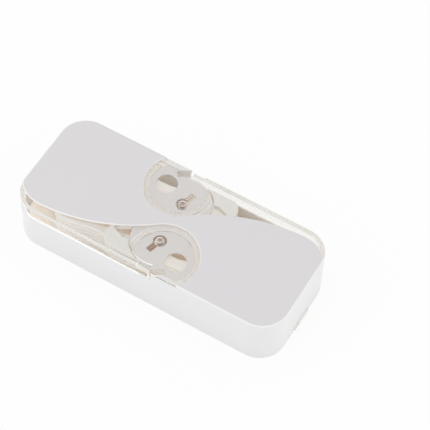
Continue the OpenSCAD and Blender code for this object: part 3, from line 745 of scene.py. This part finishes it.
# %% Plan of a pick
PICK_BACK = [(0, 5.2), (2.6, 2.4), (5.5, -1), (8.9, -1.9), (12.3, -1.9), (16.8, -1.1), (21.4, -1.2),
             (26.4, -2.2), (33.5, -2.5), (40.5, -2.3), (46.4, -1.8), (53.7, -2.5), (57.8, -3.6),
             (61.2, -4.5), (64.6, -5), (68, -4.8), (72.5, -3.4), (76.4, 0), (77.9, 5.2)]
PICK_BOW = [(75.3, 6), (74.1, 2.7), (70.3, -1.1), (66.9, -2), (63.4, -2), (60.7, -1.4), (58.2, 0.2),
            (57, 2.6), (57.2, 5.5), (59.6, 12.3)]
PICK_FRONT = [(57.1, 13.3), (55.5, 9.6), (53.2, 5), (46.4, 1.8), (40.5, 2.3), (33.5, 2.5), (26.4, 2.3),
              (21.4, 1.9), (16.8, 1.25), (12.3, 0.1), (8.9, -0.1), (5.5, 1.1), (3.2, 3.2)]
CURVE_STEPS = 5
# The least value of 1 + n.m in drawn_in, so that a sharp corner doesn't move too far
CORNER_LEAST = 0.35


def smooth_curve(points):
    """A curve through the points, made of one cubic for each stretch.

    From b to c, where a comes before b and d after c, and t runs from 0 to 1, it is
    (2b + (c - a) t + (2a - 5b + 4c - d) t^2 + (3b - a - 3c + d) t^3) / 2.
    """
    p = np.array(points, float)
    before = np.vstack((p[:1], p[:-2]))
    after = np.vstack((p[2:], p[-1:]))
    a, b, c, d = before[:, None], p[:-1][:, None], p[1:][:, None], after[:, None]
    t = (np.arange(CURVE_STEPS) / CURVE_STEPS)[None, :, None]
    square, cube = 2 * a - 5 * b + 4 * c - d, 3 * b - a - 3 * c + d
    curve = 0.5 * (2 * b + (c - a) * t + square * t**2 + cube * t**3)
    return np.vstack((curve.reshape(-1, 2), p[-1:]))


def drawn_in(outline, by):
    """The closed outline moved inwards by a distance, each corner by (n + m) / (1 + n.m) times it.

    n and m are the unit vectors that point inwards from the corner's two sides.
    """
    side = np.roll(outline, -1, 0) - outline
    side /= np.linalg.norm(side, axis=1)[:, None]
    inward = np.column_stack((-side[:, 1], side[:, 0]))
    before = np.roll(inward, 1, 0)
    corner = (inward + before) / np.maximum(1 + (inward * before).sum(1), CORNER_LEAST)[:, None]
    return outline + corner * by


pick_plan = np.vstack((smooth_curve(PICK_BACK), smooth_curve(PICK_BOW), smooth_curve(PICK_FRONT)))
print("points in a pick's outline:", len(pick_plan))

# %% Shapes from rings
SMOOTH_DEG = 38.0
SLAB_EDGE_STEPS = 3


def lofted_rings(rings):
    """Vertices and faces of a closed skin over rings of equal counts, each end closed by one flat face."""
    rings = np.array(rings, float)
    count, around = rings.shape[:2]
    ring = np.arange(count - 1)[:, None] * around
    here = np.arange(around)[None, :]
    beside = (here + 1) % around
    sides = np.stack((ring + here, ring + beside, ring + around + beside, ring + around + here), -1)
    faces = [tuple(face) for face in sides.reshape(-1, 4).tolist()]
    faces.append(tuple(range(around - 1, -1, -1)))
    faces.append(tuple(range((count - 1) * around, count * around)))
    return rings.reshape(-1, 3), faces


def rounded_slab(outline, low, high, radius):
    """A slab over an anticlockwise outline, its upper and lower edges quarter circles of the radius."""
    turn = np.linspace(0.0, math.pi / 2, SLAB_EDGE_STEPS + 1)
    inset = radius * (1 - np.cos(turn))
    rise = radius * np.sin(turn)
    levels = [(d, low + radius - h) for d, h in zip(inset[::-1], rise[::-1])]
    levels += [(d, high - radius + h) for d, h in zip(inset, rise)]
    rings = []
    for d, z in levels:
        plan = drawn_in(outline, d)
        rings.append(np.column_stack((plan, np.full(len(plan), z))))
    return lofted_rings(rings)


def joined(shapes):
    """Several (vertices, faces) shapes as one."""
    points, faces, start = [], [], 0
    for p, f in shapes:
        points.append(p)
        faces += [tuple(start + i for i in face) for face in f]
        start += len(p)
    return np.vstack(points), faces


def make_piece(name, shape, body, slot, nodes):
    """An object from a shape in metres, with its finish, that rides on a body and stands for the nodes."""
    points, faces = shape
    mesh = bpy.data.meshes.new(name)
    mesh.from_pydata(points.tolist(), [], faces)
    mesh.update()
    mesh.shade_smooth()
    mesh.set_sharp_from_angle(angle=math.radians(SMOOTH_DEG))
    mesh.materials.append(OWN_FINISH.get(nodes[0], FINISH[slot]))
    piece = bpy.data.objects.new(name, mesh)
    bpy.context.scene.collection.objects.link(piece)
    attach(piece, body)
    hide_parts(*nodes)
    return piece


# %% [markdown]
# ## Placing the picks
#
# Each row lies at one side of the case, heads to tails with the other row. A pick's own
# plan has its tip at the origin. The placing turns it by the small tilt that it has in the
# case and moves it to its row, and the rear row is the front row after half a turn.

# %% Make the picks
PICK_TIP = np.array((-37.6, -13.6))
PICK_TILT = math.radians(3.7)
PICK_EDGE = 0.42
GRIP_FROM, GRIP_TO, GRIP_RIBS = 27.4, 39.4, 9
RIB_HEIGHT, RIB_HALF_WIDTH, RIB_SUNK = 0.1, 0.42, 0.05
RIB_HALF, RIB_END, RIB_END_SHARE = 1.75, 0.25, 0.35
RIB_POINTS = 9
PICK_LAYERS = 5


def in_case(points, rear):
    """Points of the pick's plan, in millimetres, at their place in the case, in metres."""
    cos, sin = math.cos(PICK_TILT), math.sin(PICK_TILT)
    turned = points[:, :2] @ np.array(((cos, sin), (-sin, cos)))
    placed = (turned + PICK_TIP) * (-1 if rear else 1)
    return np.column_stack((placed, points[:, 2])) * MM


def rib(u, face_z, out):
    """A bar across the grip: half an ellipse carried across it, where out is 1 above and -1 below."""
    turn = np.linspace(0.0, math.pi, RIB_POINTS)
    full = RIB_HALF - RIB_END
    rings = []
    for v, share in ((-RIB_HALF, RIB_END_SHARE), (-full, 1), (full, 1), (RIB_HALF, RIB_END_SHARE)):
        along = u + RIB_HALF_WIDTH * share * np.cos(turn) * out
        up = face_z + out * (RIB_HEIGHT * share * np.sin(turn) - RIB_SUNK)
        rings.append(np.column_stack((along, np.full(len(turn), v), up)))
    return lofted_rings(rings[::-1])


def pick_shape(low, high):
    """The flat moulding between two heights in millimetres, with ribs on both faces of its grip."""
    body = rounded_slab(pick_plan, low + RIB_HEIGHT, high - RIB_HEIGHT, PICK_EDGE)
    ribs = []
    for u in np.linspace(GRIP_FROM, GRIP_TO, GRIP_RIBS):
        ribs.append(rib(u, high - RIB_HEIGHT, 1))
        ribs.append(rib(u, low + RIB_HEIGHT, -1))
    return joined([body, *ribs])


for row in ("front", "rear"):
    for layer in range(1, PICK_LAYERS + 1):
        node = f"pick_{row}_{layer}"
        lo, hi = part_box(node)
        points, faces = pick_shape(lo.z / MM, hi.z / MM)
        placed = in_case(points, row == "rear"), faces
        make_piece(
            f"{row}_pick_{layer}", placed, frame["nodes"][node]["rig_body"], "pick_plastic", [node]
        )
    print(PICK_LAYERS, "picks made in the", row, "row")

# %% [markdown]
# ## Floss
#
# The floss is drawn tight between the arms. It is a few filaments laid round each other, so
# it is modelled as three fine strands in a long twist. Each strand is a tube whose middle
# line goes round the straight line from arm to arm.

# %% Make the floss
FLOSS_UPPER = np.array((74.9, 5.1))
FLOSS_LOWER = np.array((58.9, 11.3))
FLOSS_RADIUS = 0.25
FLOSS_STRANDS = 3
# The radius of three equal circles that touch each other inside a circle of radius 1
STRAND_SHARE = 0.464
FLOSS_TWISTS = 6
STEPS_PER_TWIST = 20
STRAND_SIDES = 8


def tube(path, radius, sides, up=(0.0, 0.0, 1.0)):
    """A round tube along a path: at each point a ring of radius (cos a side + sin a top).

    side is up x way and top is way x side; up is one direction, or one for each point.
    """
    path = np.array(path, float)
    way = np.gradient(path, axis=0)
    way /= np.linalg.norm(way, axis=1)[:, None]
    side = np.cross(np.array(up), way)
    side /= np.linalg.norm(side, axis=1)[:, None]
    top = np.cross(way, side)
    a = np.linspace(0.0, 2 * math.pi, sides, endpoint=False)
    ring = np.cos(a)[None, :, None] * side[:, None] + np.sin(a)[None, :, None] * top[:, None]
    return lofted_rings(path[:, None] + radius * ring)


def floss_shape(height):
    """Strands that twist round the straight run between a pick's arms, at a height in millimetres."""
    run = np.append(FLOSS_LOWER - FLOSS_UPPER, 0.0)
    way = run / np.linalg.norm(run)
    side = np.array((-way[1], way[0], 0.0))
    t = np.linspace(0.0, 1.0, STEPS_PER_TWIST * FLOSS_TWISTS)
    start = np.array((*FLOSS_UPPER, height))
    strand_radius = FLOSS_RADIUS * STRAND_SHARE
    swing = FLOSS_RADIUS - strand_radius
    strands = []
    for k in range(FLOSS_STRANDS):
        turn = 2 * math.pi * (FLOSS_TWISTS * t + k / FLOSS_STRANDS)
        middle = start + t[:, None] * run + swing * (
            np.cos(turn)[:, None] * side + np.sin(turn)[:, None] * np.array((0.0, 0.0, 1.0))
        )
        strands.append(tube(middle, strand_radius, STRAND_SIDES))
    return joined(strands)


def floss_at(layer, row):
    """The floss of one pick, in its place in the case."""
    lo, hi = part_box(f"pick_{row}_{layer}")
    points, faces = floss_shape((lo.z + hi.z) / 2 / MM)
    return in_case(points, row == "rear"), faces


make_piece("front_top_floss", floss_at(1, "front"), "front_pick", "floss", ["floss_front_top"])
make_piece("rear_top_floss", floss_at(1, "rear"), "rear_pick", "floss", ["floss_rear_top"])
lower_layers = range(2, PICK_LAYERS + 1)
lower_floss = joined([floss_at(layer, row) for row in ("front", "rear") for layer in lower_layers])
make_piece("lower_floss", lower_floss, "platform", "floss", ["floss_lower"])
print("floss faces:", len(lower_floss[1]))

# %% [markdown]
# ## Springs
#
# The platform stands on two conical springs. A spring is one wire whose middle line is a
# formula: the turn grows evenly, the radius shrinks evenly and the height rises evenly. Each
# coil rests on the bottom cover and rides on its body.

# %% Make the springs
WIRE_SIDES = 14
RINGS_PER_TURN = 48
SPRING_WIRE = 0.6
SPRING_TURNS = 3.5
SPRING_BOTTOM_D, SPRING_TOP_D = 12.0, 7.0


def conical_spring(node, start_deg):
    """A wire whose middle line is (x + r cos a, r sin a, z), where a, r and z all change evenly with s."""
    lo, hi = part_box(node)
    low, high = lo.z / MM + SPRING_WIRE / 2, hi.z / MM - SPRING_WIRE / 2
    middle_x = (-1 if node.endswith("left") else 1) * SPRING_X
    s = np.linspace(0.0, 1.0, int(RINGS_PER_TURN * SPRING_TURNS) + 1)
    turn = math.radians(start_deg) + 2 * math.pi * SPRING_TURNS * s
    radius = (SPRING_BOTTOM_D + (SPRING_TOP_D - SPRING_BOTTOM_D) * s) / 2
    height = low + (high - low) * s
    path = np.column_stack((middle_x + radius * np.cos(turn), radius * np.sin(turn), height))
    points, faces = tube(path, SPRING_WIRE / 2, WIRE_SIDES)
    return points * MM, faces


for side, start in (("left", 0.0), ("right", 180.0)):
    node = f"platform_spring_{side}"
    shape = conical_spring(node, start)
    coil = make_piece(f"platform_coil_{side}", shape, "bottom_cover", "steel", [node])
    lo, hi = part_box(node)
    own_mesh(coil)

# %% [markdown]
# ## Small metal parts and what lies under the keyholes
#
# The pins and the screws are turned parts: a profile of radius and height is carried round
# an axis. The screw's thread is a ridge on that surface that climbs one pitch for each turn,
# and its head has a cross recess. Each return spring is one wire: a straight leg in the
# keyhole's slot, most of a turn round the pivot that falls a little, and a short leg bent
# down into the lever. Below each slot a round thumb is added to the lever; it takes the
# painted shade about the pivot, so that the slot shows painted shade along its whole length.

# %% Make the pivot pins and the return springs
# Angles, and lengths and heights in millimetres
SLOT_WAY = math.radians(-107.0)
SHAFT_TOP, SHAFT_FOOT = 17.95, 15.35
RETURN_WIRE, RETURN_R, RETURN_FALL, RETURN_TURNS = 0.3, 1.7, 0.74, 0.75
RETURN_TOP, RETURN_BEND, RETURN_FOOT = 17.05, 0.25, 16.095
# The leg runs in to a radius wider than RETURN_R, which settles in a short share of a turn
RETURN_LEG_FROM, RETURN_LEG_TO, RETURN_WIDER, RETURN_SETTLE = 4.3, 2.1, 0.3, 0.035
LEG_POINTS, TURN_POINTS, BEND_POINTS, RETURN_SIDES = 8, 60, 7, 12
# The thumb's two ends, as distances from the pivot, its half width, its heights and its edge
THUMB_FAR, THUMB_NEAR, THUMB_HALF = 3.75, 3.35, 1.7
THUMB_LOW, THUMB_HIGH, THUMB_EDGE = 15.78, 16.27, 0.1
THUMB_POINTS = 17


def turned(profile, x, y, sides=56):
    """A lathe shape: each radius and height of the profile, carried round the upright axis at x, y."""
    r, z = np.array(profile, float).T
    a = np.linspace(0.0, 2 * math.pi, sides, endpoint=False)
    rings = np.stack((x + r[:, None] * np.cos(a), y + r[:, None] * np.sin(a), z[:, None] + 0 * a), -1)
    return lofted_rings(rings)


def half_turned(shape, rear):
    """A shape in millimetres as one in metres, given half a turn about the upright axis for the rear."""
    points, faces = shape
    return points * np.array((-1, -1, 1) if rear else (1, 1, 1)) * MM, faces


def pivot_pin():
    """A headed pin, its edges broken, with a shallow dimple in its upper end."""
    low, high = SHAFT_FOOT, SHAFT_TOP
    profile = [(0.85, low), (1.1, low + 0.12), (1.1, low + 0.23), (1.03, low + 0.3), (0.72, low + 0.3),
               (0.7, low + 0.33), (0.7, high - 0.12), (0.58, high), (0.36, high), (0.3, high - 0.15)]
    return turned(profile, PIVOT[0] / MM, PIVOT[1] / MM)


def return_spring():
    """A wire: a straight leg, a turn that falls evenly, and a bend down into a foot.

    Round the turn, at t turns, the radius is R + w exp(-t / s), with w RETURN_WIDER and s RETURN_SETTLE.
    """
    way = np.array((math.cos(SLOT_WAY), math.sin(SLOT_WAY)))
    middle = np.array(PIVOT) / MM
    s = np.linspace(RETURN_LEG_FROM, RETURN_LEG_TO, LEG_POINTS)
    leg = np.column_stack((middle + s[:, None] * way, np.full(LEG_POINTS, RETURN_TOP)))
    t = np.linspace(0.0, RETURN_TURNS - RETURN_BEND / (2 * math.pi * RETURN_R), TURN_POINTS)
    a = SLOT_WAY + 2 * math.pi * t
    r = RETURN_R + RETURN_WIDER * np.exp(-t / RETURN_SETTLE)
    plan = middle + r[:, None] * np.column_stack((np.cos(a), np.sin(a)))
    turn = np.column_stack((plan, RETURN_TOP - RETURN_FALL * t))
    along, rise = np.array((-math.sin(a[-1]), math.cos(a[-1]), 0.0)), np.array((0.0, 0.0, 1.0))
    b = np.linspace(0.0, math.pi / 2, BEND_POINTS + 1)[1:, None]
    bend = turn[-1] + RETURN_BEND * (np.sin(b) * along - (1 - np.cos(b)) * rise)
    foot = np.array([[*bend[-1, :2], RETURN_FOOT]])
    level = np.tile(rise, (LEG_POINTS + TURN_POINTS, 1))
    up = np.vstack((level, np.sin(b) * along + np.cos(b) * rise, [along]))
    return tube(np.vstack((leg, turn, bend, foot)), RETURN_WIRE / 2, RETURN_SIDES, up)


# The thumb is added below the keyhole's slot to carry the lever's painted shade.
def slot_shade_thumb():
    """A slab whose plan is two half circles about the ends of a short line along the slot."""
    across = np.linspace(-math.pi / 2, math.pi / 2, THUMB_POINTS)
    around = np.concatenate((across, across + math.pi))
    reach = np.repeat((THUMB_FAR, THUMB_NEAR), len(across)) + THUMB_HALF * np.cos(around)
    aside = THUMB_HALF * np.sin(around)
    cos, sin = math.cos(SLOT_WAY), math.sin(SLOT_WAY)
    plan = np.column_stack((reach * cos - aside * sin, reach * sin + aside * cos)) + np.array(PIVOT) / MM
    return rounded_slab(plan, THUMB_LOW, THUMB_HIGH, THUMB_EDGE)


for row in ("front", "rear"):
    case_body = frame["nodes"][f"{row}_pivot_pin"]["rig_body"]
    lever_body = frame["nodes"][f"{row}_lever"]["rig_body"]
    pin = half_turned(pivot_pin(), row == "rear")
    make_piece(f"{row}_pin", pin, case_body, "steel", [f"{row}_pivot_pin"])
    coil = half_turned(return_spring(), row == "rear")
    make_piece(f"{row}_return_coil", coil, case_body, "steel", [f"{row}_return_spring"])
    # The thumb takes the lever's finish, so the slot shows painted shade along its whole length.
    thumb = half_turned(slot_shade_thumb(), row == "rear")
    make_piece(f"{row}_slot_shade_thumb", thumb, lever_body, "white_plastic", [f"{row}_lever"])
    print(row, "pin faces:", len(pin[1]), "spring faces:", len(coil[1]))

# %% Make the deck screws and the hinge pins
SCREW_PLACES = [(SCREW_X, -14.0), (SCREW_X, 3.0), (-SCREW_X, 14.0), (-SCREW_X, -3.0)]
SCREW_FOOT, SCREW_SEAT, SCREW_TOP = 14.3, 17.2, 17.9
SCREW_SIDES, SHAFT_RINGS = 60, 40
# The shaft ends a little below its seat and narrows to its tip, at the foot, over a short length
SEAT_GAP, TIP_LENGTH, TIP_SHARE = 0.05, 0.4, 0.35
# The thread's ridge on the core: its height is RIDGE_PEAK less RIDGE_SLOPE times the distance in
# turns from its middle, cut to between 0 and 1, times THREAD_RIDGE
THREAD_PITCH, THREAD_CORE, THREAD_RIDGE = 0.4, 0.5, 0.09
RIDGE_PEAK, RIDGE_SLOPE = 1.4, 4
# Radii over the head from its underside to its middle, and how far each lies below the top
HEAD_R = (1.0, 1.1, 1.1, 1.04, 0.92, 0.8, 0.7, 0.62, 0.54, 0.46, 0.38, 0.3, 0.22, 0.14, 0.06)
HEAD_DROP = (0.7, 0.64, 0.42, 0.2, 0.09, 0.04, 0.02, 0.01, 0.01, 0, 0, 0, 0, 0, 0)
# The cross recess: half an arm's width, the slope at its sides, its reach, the slope at its
# ends and its depth
CROSS_HALF, CROSS_SLOPE, CROSS_REACH, CROSS_END, CROSS_DEPTH = 0.16, 0.06, 0.66, 0.08, 0.3
HINGE_X, HINGE_Z = -43.0, 1.5
HINGE_ENDS = [(5.0, 11.3), (-11.3, -5.0)]
HINGE_R, HINGE_EDGE, HINGE_SIDES = 0.5, 0.1, 40


def deck_screw(x, y):
    """Rings up a threaded shaft and over a domed head, whose top sinks where a cross lies on it.

    The phase at height z and angle a is z / pitch - a / 360, and the ridge is highest at one half.
    """
    a = np.linspace(0.0, 2 * math.pi, SCREW_SIDES, endpoint=False)[None, :]
    z = np.linspace(SCREW_FOOT, SCREW_SEAT - SEAT_GAP, SHAFT_RINGS)[:, None]
    phase = (z / THREAD_PITCH - a / (2 * math.pi)) % 1.0
    ridge = np.clip(RIDGE_PEAK - np.abs(phase - 0.5) * RIDGE_SLOPE, 0.0, 1.0)
    tip = np.clip((z - SCREW_FOOT) / TIP_LENGTH + TIP_SHARE, 0.0, 1.0)
    shaft_r = (THREAD_CORE + THREAD_RIDGE * ridge) * tip
    head_r, drop = np.array(HEAD_R)[:, None], np.array(HEAD_DROP)[:, None]
    near = np.minimum(np.abs(head_r * np.cos(a)), np.abs(head_r * np.sin(a)))
    arm = np.clip((CROSS_HALF - near) / CROSS_SLOPE, 0.0, 1.0)
    cross = arm * np.clip((CROSS_REACH - head_r) / CROSS_END, 0.0, 1.0)
    r = np.vstack((shaft_r, head_r + 0 * a))
    z = np.vstack((z + 0 * a, SCREW_TOP - drop - CROSS_DEPTH * cross))
    return lofted_rings(np.stack((x + r * np.cos(a), y + r * np.sin(a), z), -1))


def hinge_pin(start, end):
    """A turned pin with broken edges, laid down so that its axis runs across the case."""
    low, high, small = start + HINGE_EDGE, end - HINGE_EDGE, HINGE_R - HINGE_EDGE
    profile = [(small, start), (HINGE_R, low), (HINGE_R, high), (small, end)]
    points, faces = turned(profile, 0.0, 0.0, HINGE_SIDES)
    return np.column_stack((HINGE_X + points[:, 0], points[:, 2], HINGE_Z - points[:, 1])), faces


TURNED_PARTS = {
    "deck_screws": [deck_screw(x, y) for x, y in SCREW_PLACES],
    "cover_hinge_pins": [hinge_pin(start, end) for start, end in HINGE_ENDS],
}
for node, shapes in TURNED_PARTS.items():
    shape = half_turned(joined(shapes), False)
    make_piece(node + "_turned", shape, frame["nodes"][node]["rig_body"], "steel", [node])
    print(node, "faces:", len(shape[1]))
